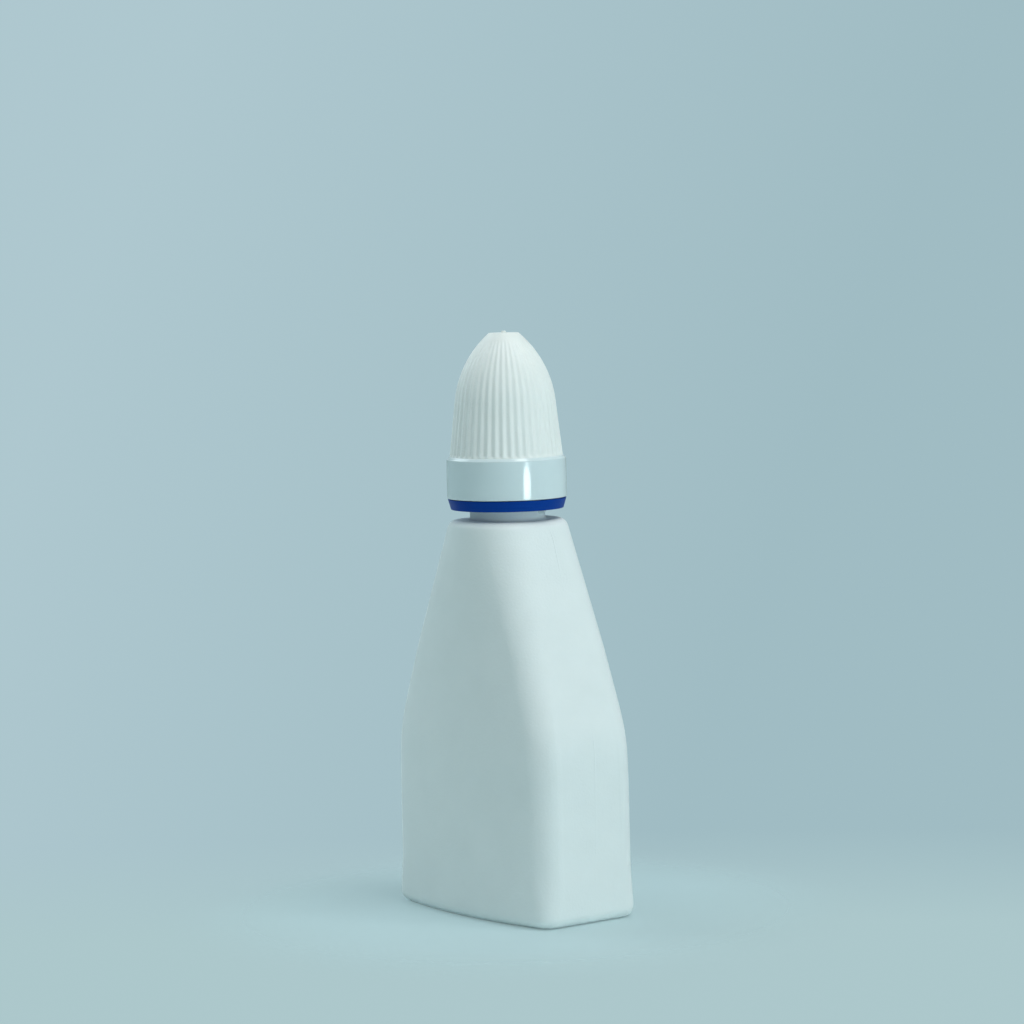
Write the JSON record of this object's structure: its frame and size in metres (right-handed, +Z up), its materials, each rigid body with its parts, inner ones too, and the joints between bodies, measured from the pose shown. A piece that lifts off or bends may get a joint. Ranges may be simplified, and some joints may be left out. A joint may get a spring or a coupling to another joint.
{
  "type": "eye drop bottle",
  "caption": "Flat tapered squeeze bottle with a press-in dropper, a separate tamper ring and a fluted domed screw cap.",
  "frame": {"origin": "centre of the base, on the surface that the bottle stands on", "axes": "+X along the width of the broad faces, +Y through the depth, +Z up along the neck and cap"},
  "size_m": [0.041, 0.024, 0.096],
  "materials": {
    "bottle_white": "satin blown polyethylene",
    "nozzle_white": "smooth natural polyethylene",
    "ring_blue": "deep blue moulded plastic",
    "seal_white": "soft sealing plastic",
    "cap_white": "glossy skirt, fine matt flutes"
  },
  "bodies": {
    "bottle": {"bottle": "bottle_white", "dropper": "nozzle_white"},
    "tamper_ring": {"tamper_ring": "ring_blue"},
    "cap_seal": {"cap_seal": "seal_white"},
    "cap": {"cap": "cap_white"}
  },
  "joints": [
    {"name": "cap_lift", "type": "slide", "parent": "bottle", "child": "cap_seal", "axis": [0, 0, 1], "range_m": [0, 0.026]},
    {"name": "cap_turn", "type": "hinge", "parent": "cap_seal", "child": "cap", "pos_m": [0, 0, 0.08], "axis": [0, 0, 1], "range_deg": [0, 540]},
    {"name": "ring_drop", "type": "slide", "parent": "bottle", "child": "tamper_ring", "axis": [0, 0, 1], "range_m": [-0.0015, 0]}
  ],
  "couplings": [
    {"joint": "cap_lift", "follows": "cap_turn", "m_per_rad": 0.00275}
  ]
}
